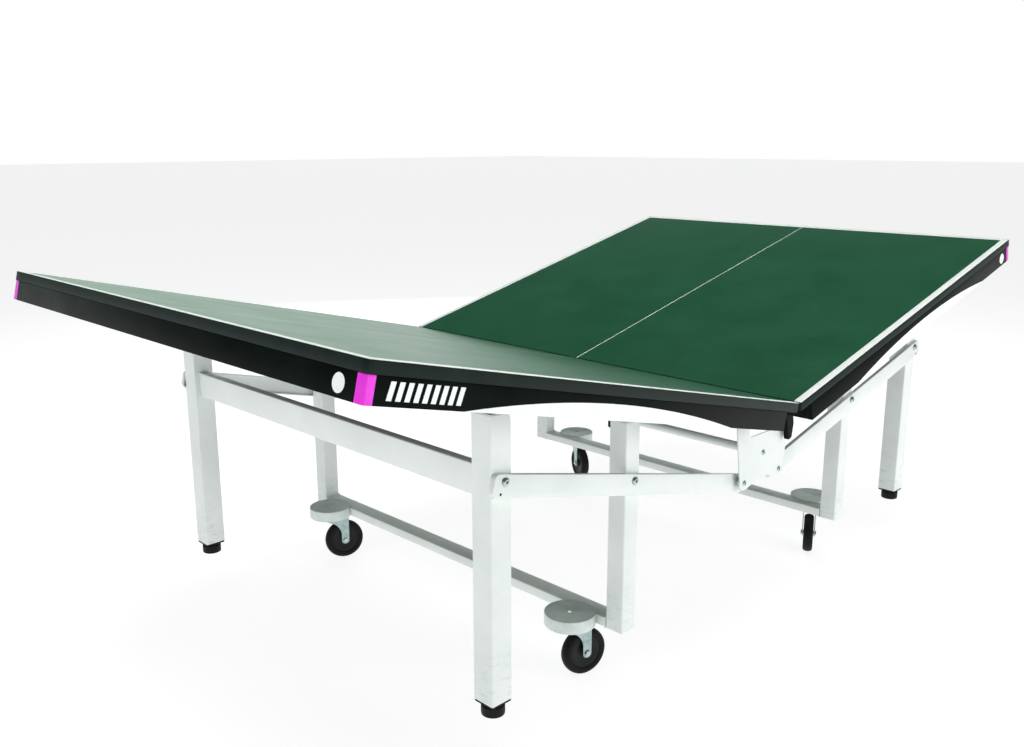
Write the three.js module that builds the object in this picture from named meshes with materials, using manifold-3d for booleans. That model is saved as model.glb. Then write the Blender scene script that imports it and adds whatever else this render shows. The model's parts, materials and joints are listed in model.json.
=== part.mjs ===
// A full-size table-tennis table whose two halves fold upward on side links.
// Millimetres, +Z up, +X along the table, floor at z = 0, net line at x = 0.
// The table is shown part-way through its fold, with both outer ends raised.
import * as THREE from 'three';
import { mergeVertices } from 'three/addons/utils/BufferGeometryUtils.js';
import Module from 'manifold-3d';

const wasm = await Module();
wasm.setup();

// ---- playing surface ----
const halfLength = 1370;
const tableWidth = 1525;
const playHeight = 760;
const panelThickness = 25;

// ---- frame under the panel ----
const frameDepth = 50;
const apronThickness = 18;
const apronWall = 2.5;
const netOverhang = 50;
const guardSideReach = 20;
const guardEndReach = 24;
const guardCornerRadius = 4;
const blockLength = 44;
const blockWall = 3;
const hangerLength = 32;
const hangerDrop = 75;
const hangerThickness = 14;
const clampStripThickness = 2;
const clampStripMargin = 3;
const innerRailDepth = 38;
const pivotRailThickness = 8;
const pivotRailDrop = 14;

// ---- fold linkage ----
const restTilt = THREE.MathUtils.degToRad(13.6);
const foldedTilt = THREE.MathUtils.degToRad(75);
const linkHeight = 528;
const topPivotDepth = 34;
const plateHalfSpan = 84;
const closestHalfGap = 2;
const innerLinkRun = 448;
const outerLinkRun = 425;
const platePivotStep = 5;

// ---- legs and cross members ----
const legInset = 127.5;
const outerLegSize = 58;
const innerLegSize = 50;
const innerLegOffset = -5;
const innerLegBottom = 145;
const legWall = 3;
const legTopDrop = 58;
const capThickness = 4;
const foldClearance = 3;
const tongueThickness = 12;
const tongueRadius = 8.5;
const tongueBaseHalf = 20;
const weepHoleRadius = 6;
const crossbarDepth = 25;
const crossbarAbovePivot = 22;
const crossbarBelowPivot = 46;
const lowerTubeHeight = 26;
const tubeWall = 2.5;

// ---- feet ----
const footRadius = 26;
const footPuckHeight = 30;
const footFlange = 4;
const footPlugHeight = 20;

// ---- link bars, plates and pins ----
const barHeight = 50;
const barThickness = 11;
const barWall = 3;
const barCentreDrop = 10;
const barOuterOverrun = 30;
const barInnerOverrun = 22;
const barCornerRadius = 12;
const barHoleRadius = 2.5;
const washerGap = 1;
const pinRadius = 6;
const topPinRadius = 4;
const boreClearance = 0.4;
const bossRadius = 13;
const boltHeadRadius = 8.5;
const boltHeadHeight = 4.5;
const plateThickness = 4;
const plateOutboard = 30;
const plateHalfWidth = 128;
const plateShoulderDrop = 45;
const lobeRadius = 20;
const plateBoltAbovePivot = 65;
const tieTubeRadius = 12;

// ---- castors ----
const wheelRadius = 60;
const wheelWidth = 30;
const castorInset = 130;
const castorOutboard = 64;
const castorTrail = 40;
const cupRadius = 63;
const cupHeight = 28;
const cupWall = 5;
const cupPlate = 3;
const raceRadius = 30;
const raceHeight = 8;
const stemRadius = 8;
const forkCheek = 3;
const forkBossRadius = 12;
const forkCrownReach = 26;
const forkCrownDrop = 14;
const axleRadius = 5;

// ---- shared values worked out from the sizes above ----
const seat = 0.3;
const topPivotRise = playHeight - topPivotDepth - linkHeight;
const plateReach = Math.sqrt((plateHalfSpan - closestHalfGap) ** 2 - (topPivotDepth + platePivotStep) ** 2);
const innerEnd = -(innerLinkRun + plateReach);
const outerEnd = innerEnd + halfLength;
const halfWidth = tableWidth / 2;
const legOuterFace = halfWidth - legInset;
const plateOuterFace = legOuterFace + plateOutboard;
const castorAcross = legOuterFace - castorInset;
const frameTop = topPivotDepth - panelThickness - seat;
const frameBottom = topPivotDepth - panelThickness - frameDepth;
const frameStart = innerEnd + netOverhang;
const plateInnerFace = plateOuterFace - plateThickness;
const blockInnerFace = plateOuterFace + 8;
const barOuterFace = legOuterFace + washerGap + barThickness;
const barInnerFace = legOuterFace + washerGap;
const railOuterFace = legOuterFace - Math.max(outerLegSize, innerLegSize) - 3;
const castorSegments = 24;
const pinSegments = 16;
const arcSegments = 4;

const cosTilt = Math.cos(restTilt);
const sinTilt = Math.sin(restTilt);
const innerPivot = {
  x: plateHalfSpan + innerLinkRun * cosTilt - platePivotStep * sinTilt,
  z: linkHeight,
};
const platePivotHeight = linkHeight - innerLinkRun * sinTilt - platePivotStep * cosTilt;

// ---- finishes ----
const finishes = {
  panel: new THREE.MeshStandardMaterial({ color: 0x1f5a3c, roughness: 0.55, metalness: 0 }),
  apron: new THREE.MeshStandardMaterial({ color: 0x15201d, roughness: 0.5, metalness: 0.1 }),
  guard: new THREE.MeshStandardMaterial({ color: 0xf22af0, roughness: 0.45, metalness: 0 }),
  frame: new THREE.MeshStandardMaterial({ color: 0xe4eae7, roughness: 0.4, metalness: 0.1 }),
  foot: new THREE.MeshStandardMaterial({ color: 0x17191a, roughness: 0.6, metalness: 0 }),
  zinc: new THREE.MeshStandardMaterial({ color: 0xb4c4c6, roughness: 0.35, metalness: 0.9 }),
  tyre: new THREE.MeshStandardMaterial({ color: 0x1b1b1b, roughness: 0.75, metalness: 0 }),
};

// ---- solids ----
function solidOf(geometry) {
  const bare = geometry.clone();
  bare.deleteAttribute('normal');
  bare.deleteAttribute('uv');
  const merged = mergeVertices(bare, 1e-4);
  const mesh = new wasm.Mesh({
    numProp: 3,
    vertProperties: new Float32Array(merged.attributes.position.array),
    triVerts: new Uint32Array(merged.index.array),
  });
  return new wasm.Manifold(mesh);
}

function geometryOf(solid) {
  const mesh = solid.getMesh();
  const geometry = new THREE.BufferGeometry();
  geometry.setAttribute('position', new THREE.BufferAttribute(mesh.vertProperties, 3));
  geometry.setIndex(new THREE.BufferAttribute(mesh.triVerts, 1));
  const flat = geometry.toNonIndexed();
  flat.computeVertexNormals();
  return flat;
}

function block(x0, x1, y0, y1, z0, z1) {
  const geometry = new THREE.BoxGeometry(x1 - x0, y1 - y0, z1 - z0);
  geometry.translate((x0 + x1) / 2, (y0 + y1) / 2, (z0 + z1) / 2);
  return solidOf(geometry);
}

// a round bar along Y, centred on (x, z)
function barY(radius, y0, y1, x = 0, z = 0) {
  const geometry = new THREE.CylinderGeometry(radius, radius, Math.abs(y1 - y0), pinSegments);
  geometry.translate(x, (y0 + y1) / 2, z);
  return solidOf(geometry);
}

// a round bar along Z, centred on (x, y)
function barZ(radius, z0, z1, x = 0, y = 0) {
  const geometry = new THREE.CylinderGeometry(radius, radius, z1 - z0, castorSegments);
  geometry.rotateX(Math.PI / 2);
  geometry.translate(x, y, (z0 + z1) / 2);
  return solidOf(geometry);
}

// a shape drawn in X and Z, extruded along Y from y0 to y1
function prismY(shape, y0, y1) {
  const geometry = new THREE.ExtrudeGeometry(shape, { depth: y1 - y0, bevelEnabled: false, curveSegments: arcSegments });
  geometry.rotateX(Math.PI / 2);
  geometry.translate(0, y1, 0);
  return solidOf(geometry);
}

// a shape drawn in X and Y, extruded along Z from z0 to z1
function prismZ(shape, z0, z1) {
  const geometry = new THREE.ExtrudeGeometry(shape, { depth: z1 - z0, bevelEnabled: false, curveSegments: arcSegments });
  geometry.translate(0, 0, z0);
  return solidOf(geometry);
}

// a closed profile of [radius, height] pairs turned about Y
function turned(profile) {
  const points = profile.map(([radius, height]) => new THREE.Vector2(radius, height));
  return new THREE.LatheGeometry(points, castorSegments);
}

function roundedRectangle(x0, x1, z0, z1, radius) {
  const shape = new THREE.Shape();
  shape.moveTo(x0 + radius, z0);
  shape.lineTo(x1 - radius, z0);
  shape.absarc(x1 - radius, z0 + radius, radius, -Math.PI / 2, 0, false);
  shape.lineTo(x1, z1 - radius);
  shape.absarc(x1 - radius, z1 - radius, radius, 0, Math.PI / 2, false);
  shape.lineTo(x0 + radius, z1);
  shape.absarc(x0 + radius, z1 - radius, radius, Math.PI / 2, Math.PI, false);
  shape.lineTo(x0, z0 + radius);
  shape.absarc(x0 + radius, z0 + radius, radius, Math.PI, 1.5 * Math.PI, false);
  return shape;
}

// Local y grows outward from the table's centre line on both sides: across is
// +1 or -1 and turns such a stretch into the local frame's own y range.
function acrossBlock(across, x0, x1, out0, out1, z0, z1) {
  const [y0, y1] = across > 0 ? [out0, out1] : [-out1, -out0];
  return block(x0, x1, y0, y1, z0, z1);
}

function acrossBar(across, radius, out0, out1, x = 0, z = 0) {
  return barY(radius, across * out0, across * out1, x, z);
}

function acrossPrism(across, shape, out0, out1) {
  const [y0, y1] = across > 0 ? [out0, out1] : [-out1, -out0];
  return prismY(shape, y0, y1);
}

function part(name, solid, finish) {
  const geometry = solid.isBufferGeometry ? solid : geometryOf(solid);
  const mesh = new THREE.Mesh(geometry, finishes[finish]);
  mesh.name = name;
  return mesh;
}

// ---- table top: frame of the group is the inner leg's top pivot, x along the surface ----
function topPanel() {
  return block(innerEnd, outerEnd, -halfWidth, halfWidth, topPivotDepth - panelThickness, topPivotDepth);
}

// a rail of U section that opens up against the panel
function channelRail(across, x0, x1, out0, out1, bottom) {
  const wall = apronWall;
  const outside = acrossBlock(across, x0, x1, out0, out1, bottom, frameTop);
  const inside = acrossBlock(across, x0 + wall, x1 - wall, out0 + wall, out1 - wall, bottom + wall, frameTop + 1);
  return outside.subtract(inside);
}

function sideApron(across) {
  return channelRail(across, frameStart, outerEnd - guardSideReach, halfWidth - apronThickness, halfWidth, frameBottom);
}

function crossRail(x0, x1, reach, bottom) {
  return channelRail(1, x0, x1, -reach, reach, bottom);
}

function cornerGuard(across) {
  const x0 = outerEnd - guardSideReach + seat;
  const y0 = halfWidth - guardEndReach + seat;
  const shape = new THREE.Shape();
  shape.moveTo(outerEnd, y0);
  shape.lineTo(outerEnd, halfWidth - guardCornerRadius);
  shape.absarc(outerEnd - guardCornerRadius, halfWidth - guardCornerRadius, guardCornerRadius, 0, Math.PI / 2, false);
  shape.lineTo(x0, halfWidth);
  shape.lineTo(x0, halfWidth - apronThickness);
  shape.lineTo(outerEnd - apronThickness, halfWidth - apronThickness);
  shape.lineTo(outerEnd - apronThickness, y0);
  const solid = prismZ(shape, frameBottom, frameTop);
  return across > 0 ? solid : solid.mirror([0, 1, 0]);
}

// carries the pin of the centre plate and closes the frame beside the net clamp
function clampBlock(across, withHanger) {
  const centre = -innerLinkRun;
  const x0 = frameStart;
  const x1 = Math.max(frameStart + blockLength, centre + 2 * topPinRadius);
  const out1 = halfWidth - apronThickness - seat;
  const shell = channelRail(across, x0, x1, blockInnerFace, out1, frameBottom);
  const pin = acrossBar(across, topPinRadius, plateInnerFace - 3, blockInnerFace + blockWall, centre, -platePivotStep);
  const backing = acrossBar(across, bossRadius, blockInnerFace + 0.5, blockInnerFace + blockWall, centre, -platePivotStep);
  const block = shell.add(pin).add(backing.intersect(
    acrossBlock(across, x0, x1, blockInnerFace, out1, frameBottom, frameTop),
  ));
  if (!withHanger) return block;
  const shape = new THREE.Shape();
  shape.moveTo(x0, frameBottom + blockWall / 2);
  shape.lineTo(x0, frameBottom - hangerDrop);
  shape.lineTo(x0 + hangerLength / 2, frameBottom - hangerDrop);
  shape.lineTo(x0 + hangerLength, frameBottom - hangerDrop / 2);
  shape.lineTo(x0 + hangerLength, frameBottom + blockWall / 2);
  return block.add(acrossPrism(across, shape, blockInnerFace, blockInnerFace + hangerThickness));
}

// a steel strip under the net end of the panel, where the net post's clamp presses
function clampStrip() {
  const reach = halfWidth - clampStripMargin;
  return block(
    innerEnd + clampStripMargin, frameStart - clampStripMargin, -reach, reach, frameTop - clampStripThickness, frameTop,
  );
}

function pivotRail(across) {
  const out0 = railOuterFace - pivotRailThickness;
  const x1 = outerEnd - apronThickness - seat;
  let rail = acrossBlock(across, frameStart, x1, out0, railOuterFace, -pivotRailDrop, frameTop);
  for (const x of [0, outerLinkRun]) {
    rail = rail.subtract(acrossBar(across, topPinRadius + boreClearance, out0 - 1, railOuterFace + 1, x, 0));
  }
  return rail;
}

// ---- legs: frame of each group is that leg's link pivot, x along the floor ----
function tongueShape(centre) {
  const shape = new THREE.Shape();
  const base = topPivotRise - legTopDrop - capThickness / 2;
  shape.moveTo(centre - tongueBaseHalf, base);
  shape.lineTo(centre + tongueBaseHalf, base);
  shape.lineTo(tongueRadius, topPivotRise);
  shape.absarc(0, topPivotRise, tongueRadius, 0, Math.PI, false);
  return shape;
}

// where the panel and what lies against it come, seen from a leg, when the table is folded up
function foldedPanelSpace(clearance) {
  const space = block(-2 * tableWidth, 2 * tableWidth, -tableWidth, tableWidth, frameTop - clearance, tableWidth);
  return space.rotate([0, -THREE.MathUtils.radToDeg(foldedTilt), 0]).translate([0, 0, topPivotRise]);
}

function legSolid(across, size, offset, bottom, capBottom) {
  const top = topPivotRise - legTopDrop;
  const inner = legOuterFace - size;
  const floor = capBottom ? bottom + capThickness : bottom - 1;
  const x0 = offset - size / 2;
  const x1 = offset + size / 2;
  const bore = acrossBlock(
    across, x0 + legWall, x1 - legWall, inner + legWall, legOuterFace - legWall, floor, top - capThickness,
  );
  let leg = acrossBlock(across, x0, x1, inner, legOuterFace, bottom, top);
  leg = leg.subtract(foldedPanelSpace(foldClearance)).subtract(bore.subtract(foldedPanelSpace(foldClearance + legWall)));
  if (capBottom) {
    const hole = across * (legOuterFace - size / 2);
    leg = leg.subtract(barZ(weepHoleRadius, bottom - 1, floor + 1, offset, hole));
  }
  leg = leg.add(acrossPrism(across, tongueShape(offset / 2), inner, inner + tongueThickness));
  const topPinEnd = railOuterFace - pivotRailThickness - 3;
  leg = leg.add(acrossBar(across, topPinRadius, topPinEnd, inner + tongueThickness, 0, topPivotRise));
  const stud = acrossBar(across, pinRadius, legOuterFace - legWall, barOuterFace + seat + boltHeadHeight);
  const head = acrossBar(across, boltHeadRadius, barOuterFace + seat, barOuterFace + seat + boltHeadHeight);
  const washer = acrossBar(across, bossRadius, legOuterFace - legWall / 2, barInnerFace - seat);
  return leg.add(stud).add(head).add(washer);
}

const outerLegBottom = footPuckHeight + footFlange + seat - linkHeight;

function foot(across) {
  const centre = across * (legOuterFace - outerLegSize / 2);
  const ground = -linkHeight;
  const half = outerLegSize / 2;
  const plug = half - legWall - seat;
  const flangeTop = ground + footPuckHeight + footFlange;
  const puck = barZ(footRadius, ground, ground + footPuckHeight + footFlange / 2, 0, centre);
  const flange = block(-half, half, centre - half, centre + half, flangeTop - footFlange, flangeTop);
  const insert = block(-plug, plug, centre - plug, centre + plug, flangeTop - 1, flangeTop + footPlugHeight);
  return puck.add(flange).add(insert);
}

// a rectangular tube along Y, open at both ends
function tubeY(x0, x1, z0, z1, reach, wall) {
  const outside = block(x0, x1, -reach, reach, z0, z1);
  return outside.subtract(block(x0 + wall, x1 - wall, -reach - 1, reach + 1, z0 + wall, z1 - wall));
}

function outerCrossbar() {
  const reach = legOuterFace - outerLegSize - seat;
  return tubeY(-crossbarDepth / 2, crossbarDepth / 2, -crossbarBelowPivot, crossbarAbovePivot, reach, tubeWall);
}

const lowerTubeBottom = innerLegBottom - linkHeight;

function lowerCrossbar() {
  const half = innerLegSize / 2;
  const reach = legOuterFace - innerLegSize - seat;
  const top = lowerTubeBottom + lowerTubeHeight;
  return tubeY(innerLegOffset - half, innerLegOffset + half, lowerTubeBottom, top, reach, tubeWall);
}

// ---- castors: frame of the cup and fork is the swivel axis at floor level ----
const cupTop = innerLegBottom + lowerTubeHeight;
const cupBottom = cupTop - cupHeight;

// a round plate that rests over the crossbar's edge, on a skirt cut flat against the crossbar
function castorCup() {
  const plateBottom = cupTop + seat;
  const plateTop = plateBottom + cupPlate;
  const skirt = turned([
    [cupRadius - cupWall, cupBottom],
    [cupRadius - 1, cupBottom],
    [cupRadius, cupBottom + 2],
    [cupRadius, plateBottom + cupPlate / 2],
    [cupRadius - cupWall, plateBottom + cupPlate / 2],
    [cupRadius - cupWall, cupBottom],
  ]);
  const plate = turned([
    [axleRadius, plateBottom],
    [cupRadius, plateBottom],
    [cupRadius, plateTop - 1],
    [cupRadius - 1, plateTop],
    [axleRadius, plateTop],
    [axleRadius, plateBottom],
  ]);
  skirt.rotateX(Math.PI / 2);
  plate.rotateX(Math.PI / 2);
  const face = innerLegSize / 2 - castorOutboard + seat;
  const cutSkirt = solidOf(skirt).intersect(block(face, 2 * cupRadius, -2 * cupRadius, 2 * cupRadius, 0, playHeight));
  return cutSkirt.add(solidOf(plate));
}

function forkCheekShape(raceBottom) {
  const top = raceBottom + raceHeight / 2;
  const narrow = castorTrail - forkBossRadius;
  const hollow = raceBottom - forkCrownDrop;
  const shape = new THREE.Shape();
  shape.moveTo(castorTrail + forkBossRadius, top);
  shape.lineTo(-forkCrownReach, top);
  shape.lineTo(-forkCrownReach, raceBottom - forkCheek);
  shape.quadraticCurveTo(narrow, hollow, narrow, wheelRadius);
  shape.absarc(castorTrail, wheelRadius, forkBossRadius, Math.PI, Math.PI * 2, false);
  return shape;
}

function castorFork() {
  const raceTop = cupBottom - 1.5;
  const raceBottom = raceTop - raceHeight;
  const gapHalf = wheelWidth / 2 + 2;
  const stemTop = cupTop - cupWall - 1;
  let fork = barZ(raceRadius, raceBottom, raceTop).add(barZ(stemRadius, raceBottom + 1, stemTop));
  for (const side of [1, -1]) {
    fork = fork.add(acrossPrism(side, forkCheekShape(raceBottom), gapHalf, gapHalf + forkCheek));
  }
  fork = fork.add(block(
    -forkCrownReach, castorTrail + forkBossRadius, -gapHalf - forkCheek, gapHalf + forkCheek,
    raceBottom, raceBottom + raceHeight / 2,
  ));
  const headEnd = gapHalf + forkCheek + 4;
  fork = fork.add(barY(axleRadius, -headEnd, headEnd, castorTrail, wheelRadius));
  for (const side of [1, -1]) {
    fork = fork.add(acrossBar(side, axleRadius + 3, gapHalf + forkCheek / 2, headEnd, castorTrail, wheelRadius));
  }
  return fork;
}

// the wheel's own frame is its axle, along Y
function castorWheel() {
  const half = wheelWidth / 2;
  const bore = axleRadius + boreClearance;
  return solidOf(turned([
    [bore, -half - 1],
    [bore + 7, -half - 1],
    [bore + 7, -half + 3],
    [wheelRadius * 0.62, -half + 4],
    [wheelRadius * 0.7, -half + 1],
    [wheelRadius - 8, -half],
    [wheelRadius - 2.5, -half + 5],
    [wheelRadius, -half + 11],
    [wheelRadius, half - 11],
    [wheelRadius - 2.5, half - 5],
    [wheelRadius - 8, half],
    [wheelRadius * 0.7, half - 1],
    [wheelRadius * 0.62, half - 4],
    [bore + 7, half - 3],
    [bore + 7, half + 1],
    [bore, half + 1],
    [bore, -half - 1],
  ]));
}

// ---- link bar: frame of the group is the inner leg's link pivot, x along the bar ----
function linkBar(across) {
  const x0 = -innerLinkRun - barInnerOverrun;
  const x1 = outerLinkRun + barOuterOverrun;
  const z0 = -barCentreDrop - barHeight / 2;
  const z1 = z0 + barHeight;
  const outline = roundedRectangle(x0, x1, z0, z1, barCornerRadius);
  const pocket = roundedRectangle(x0 + barWall, x1 - barWall, z0 + barWall, z1 - barWall, barCornerRadius - barWall);
  let bar = acrossPrism(across, outline, barInnerFace, barOuterFace);
  bar = bar.subtract(acrossPrism(across, pocket, barInnerFace - 1, barOuterFace - barWall));
  const pivots = [[-innerLinkRun, -platePivotStep], [0, 0], [outerLinkRun, 0]];
  const edge = acrossPrism(across, outline, barInnerFace, barOuterFace - barWall / 2);
  for (const [x, z] of pivots) {
    bar = bar.add(acrossBar(across, bossRadius, barInnerFace, barOuterFace - barWall / 2, x, z).intersect(edge));
    bar = bar.subtract(acrossBar(across, pinRadius + boreClearance, barInnerFace - 1, barOuterFace + 1, x, z));
  }
  const holeX = outerLinkRun + bossRadius * 0.6;
  const holeZ = z0 + barCornerRadius * 0.7;
  return bar.subtract(acrossBar(across, barHoleRadius, barOuterFace - 2 * barWall, barOuterFace + 1, holeX, holeZ));
}

// ---- centre plate: frame is the net line at the height of the plate's link pivots ----
function plateShape() {
  const lug = topPivotRise;
  const notch = lug - plateReach - topPinRadius * 1.5;
  const span = plateHalfSpan;
  const wide = plateHalfWidth;
  const shoulder = lug - plateShoulderDrop;
  const archTop = -lobeRadius * 0.15;
  const shape = new THREE.Shape();
  shape.moveTo(0, archTop);
  shape.quadraticCurveTo(span * 0.55, archTop, span - lobeRadius * 0.5, -lobeRadius * 0.87);
  shape.absarc(span, 0, lobeRadius, -Math.PI * 2 / 3, 0, false);
  shape.lineTo(wide, shoulder);
  shape.lineTo(span + tongueRadius, lug);
  shape.absarc(span, lug, tongueRadius, 0, Math.PI, false);
  shape.lineTo(span - tongueRadius * 2, notch);
  shape.lineTo(-span + tongueRadius * 2, notch);
  shape.lineTo(-span + tongueRadius, lug);
  shape.absarc(-span, lug, tongueRadius, 0, Math.PI, false);
  shape.lineTo(-wide, shoulder);
  shape.lineTo(-span - lobeRadius, 0);
  shape.absarc(-span, 0, lobeRadius, Math.PI, Math.PI * 5 / 3, false);
  shape.quadraticCurveTo(-span * 0.55, archTop, 0, archTop);
  return shape;
}

function centrePlate(across) {
  let plate = acrossPrism(across, plateShape(), plateInnerFace, plateOuterFace);
  const nutFace = barInnerFace - seat;
  for (const x of [-plateHalfSpan, plateHalfSpan]) {
    plate = plate.subtract(acrossBar(
      across, topPinRadius + boreClearance, plateInnerFace - 1, plateOuterFace + 1, x, topPivotRise,
    ));
    plate = plate.add(acrossBar(across, pinRadius, nutFace - boltHeadHeight, plateOuterFace - 1, x, 0));
    plate = plate.add(acrossBar(across, bossRadius - 2, nutFace - boltHeadHeight, nutFace, x, 0));
    plate = plate.add(acrossBar(across, bossRadius, barOuterFace + seat, plateInnerFace + 1, x, 0));
    plate = plate.add(acrossBar(across, boltHeadRadius - 1, plateOuterFace - 1, plateOuterFace + 3, x, 0));
  }
  return plate.add(acrossBar(
    across, boltHeadRadius - 1, plateOuterFace - 1, plateOuterFace + 3, 0, plateBoltAbovePivot,
  ));
}

function tieTube() {
  const reach = plateInnerFace - seat;
  const outside = barY(tieTubeRadius, -reach, reach, 0, plateBoltAbovePivot);
  return outside.subtract(barY(tieTubeRadius - tubeWall, -reach - 1, reach + 1, 0, plateBoltAbovePivot));
}

// ---- assembly ----
// The right half is built along +X. The left half is the same half turned about Z.
function buildHalf(side, castorAngles) {
  const half = new THREE.Group();
  half.rotation.z = side === 'right' ? 0 : Math.PI;
  const facing = side === 'right' ? { front: -1, rear: 1 } : { front: 1, rear: -1 };

  const top = new THREE.Group();
  top.position.set(innerPivot.x, 0, innerPivot.z + topPivotRise);
  top.rotation.y = -restTilt;
  top.add(part(`${side}_top_panel`, topPanel(), 'panel'));
  top.add(part(`${side}_clamp_strip`, clampStrip(), 'apron'));
  top.add(part(`${side}_end_apron`, crossRail(
    outerEnd - apronThickness, outerEnd, halfWidth - guardEndReach, frameBottom,
  ), 'apron'));
  top.add(part(`${side}_inner_rail`, crossRail(
    frameStart, frameStart + apronThickness, railOuterFace - pivotRailThickness - seat, frameTop - innerRailDepth,
  ), 'apron'));

  const links = new THREE.Group();
  links.position.set(innerPivot.x, 0, innerPivot.z);
  links.rotation.y = -restTilt;

  const innerFrame = new THREE.Group();
  innerFrame.position.set(innerPivot.x, 0, innerPivot.z);
  innerFrame.add(part(`${side}_lower_crossbar`, lowerCrossbar(), 'frame'));

  const outerFrame = new THREE.Group();
  outerFrame.position.set(innerPivot.x + outerLinkRun * cosTilt, 0, innerPivot.z + outerLinkRun * sinTilt);
  outerFrame.add(part(`${side}_outer_crossbar`, outerCrossbar(), 'frame'));

  for (const [place, across] of Object.entries(facing)) {
    const label = `${side}_${place}`;
    top.add(part(`${label}_side_apron`, sideApron(across), 'apron'));
    top.add(part(`${label}_corner_guard`, cornerGuard(across), 'guard'));
    top.add(part(`${label}_clamp_block`, clampBlock(across, side === 'right'), 'apron'));
    top.add(part(`${label}_pivot_rail`, pivotRail(across), 'apron'));
    links.add(part(`${label}_link_bar`, linkBar(across), 'frame'));
    outerFrame.add(part(`${label}_outer_leg`, legSolid(across, outerLegSize, 0, outerLegBottom, false), 'frame'));
    outerFrame.add(part(`${label}_foot`, foot(across), 'foot'));
    innerFrame.add(part(`${label}_inner_leg`, legSolid(
      across, innerLegSize, innerLegOffset, innerLegBottom - linkHeight, true,
    ), 'frame'));

    const castor = new THREE.Group();
    castor.position.set(innerLegOffset + castorOutboard, across * castorAcross, -linkHeight);
    castor.add(part(`${label}_castor_cup`, castorCup(), 'frame'));
    const swivel = new THREE.Group();
    swivel.rotation.z = THREE.MathUtils.degToRad(castorAngles[place]) - half.rotation.z;
    swivel.add(part(`${label}_castor_fork`, castorFork(), 'zinc'));
    const wheel = part(`${label}_castor_wheel`, castorWheel(), 'tyre');
    wheel.position.set(castorTrail, 0, wheelRadius);
    swivel.add(wheel);
    castor.add(swivel);
    innerFrame.add(castor);
  }
  half.add(top, links, innerFrame, outerFrame);
  return half;
}

// where each castor trails to at rest, in degrees from +X
const castorRest = {
  left: { front: -15, rear: -20 },
  right: { front: -152, rear: -115 },
};
const table = new THREE.Group();
table.name = 'folding_table_tennis_table';
table.add(buildHalf('left', castorRest.left));
table.add(buildHalf('right', castorRest.right));

const centre = new THREE.Group();
centre.position.set(0, 0, platePivotHeight);
centre.add(part('front_centre_plate', centrePlate(-1), 'frame'));
centre.add(part('rear_centre_plate', centrePlate(1), 'frame'));
centre.add(part('tie_tube', tieTube(), 'frame'));
table.add(centre);

export default table;
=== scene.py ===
# %% [markdown]
# # A folding table tennis table, part-way through its fold
#
# Two green playing tops stand on white steel legs. Long link bars join the legs to two plates in
# the middle, so the tops rise like a pair of wings while every leg stays upright. The moving frame
# is already modelled as plain solids; here each solid gets its real edges, fittings and finish.
# The frame is loaded first. No piece may grow outside it.

# %% Load the frame
import bpy
import bmesh
import json
from math import asin, atan2, copysign, cos, degrees, hypot, pi, radians, sin, tan
from mathutils import Matrix, Vector


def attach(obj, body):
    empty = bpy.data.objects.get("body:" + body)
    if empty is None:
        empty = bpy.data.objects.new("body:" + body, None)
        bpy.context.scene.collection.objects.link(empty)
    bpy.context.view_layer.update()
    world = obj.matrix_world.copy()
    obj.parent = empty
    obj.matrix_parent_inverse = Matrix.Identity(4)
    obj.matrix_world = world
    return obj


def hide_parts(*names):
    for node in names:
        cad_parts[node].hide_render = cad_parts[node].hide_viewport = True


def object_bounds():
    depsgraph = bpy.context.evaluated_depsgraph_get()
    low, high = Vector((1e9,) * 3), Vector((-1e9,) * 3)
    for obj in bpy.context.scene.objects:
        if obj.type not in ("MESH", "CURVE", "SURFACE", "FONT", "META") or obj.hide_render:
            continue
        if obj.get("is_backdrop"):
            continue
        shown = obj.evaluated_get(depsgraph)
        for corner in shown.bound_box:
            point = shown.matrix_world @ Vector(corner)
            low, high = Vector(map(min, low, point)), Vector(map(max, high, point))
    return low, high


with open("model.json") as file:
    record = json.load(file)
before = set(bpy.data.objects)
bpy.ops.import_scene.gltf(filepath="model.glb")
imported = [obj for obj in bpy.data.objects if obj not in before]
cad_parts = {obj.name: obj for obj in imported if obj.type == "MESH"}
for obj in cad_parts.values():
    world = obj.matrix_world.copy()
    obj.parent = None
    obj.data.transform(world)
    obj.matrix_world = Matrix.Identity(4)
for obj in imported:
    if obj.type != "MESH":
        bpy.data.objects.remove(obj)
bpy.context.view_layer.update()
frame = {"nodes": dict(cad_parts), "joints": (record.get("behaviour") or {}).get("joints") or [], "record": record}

# %% [markdown]
# ## Where things are
#
# Every piece is drawn in millimetres in its own handy frame: x runs out along the table from a
# pivot, y runs out from the middle line to the table's side edge, and z is up. One matrix then
# carries it to its place. Front and rear are mirror images and the left half is the right half
# turned round, so one drawing serves all four corners. Pivots and the tilt come from the record.

# %% Pivots, tilt and placing
MM = 0.001
pivot = {joint["name"]: Vector(joint["pos_m"]) for joint in frame["joints"]}
surface = next(m for m in frame["record"]["mounts"] if m["name"] == "right_playing_surface")
tilt = atan2(-surface["axis"][0], surface["axis"][2])
top_pivot = pivot["right_top_fold"]
inner_pivot = pivot["right_inner_frame_swing"]
outer_pivot = pivot["right_outer_leg_swing"]
plate_pivot = pivot["right_link_fold"]
centre = Vector((0, 0, plate_pivot.z))

half_turn = {"right": 0.0, "left": pi}
corners = {("right", "front"): -1, ("right", "rear"): 1, ("left", "front"): 1, ("left", "rear"): -1}


def place_at(side, point, lean=0.0, across=1):
    return (Matrix.Rotation(half_turn[side], 4, "Z") @ Matrix.Translation(point)
            @ Matrix.Rotation(-lean, 4, "Y") @ Matrix.Diagonal((MM, across * MM, MM, 1)))


def measure(node, place):
    back = place.inverted()
    points = [back @ vert.co for vert in frame["nodes"][node].data.vertices]
    low = Vector([min(p[i] for p in points) for i in range(3)])
    high = Vector([max(p[i] for p in points) for i in range(3)])
    return low, high


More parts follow.
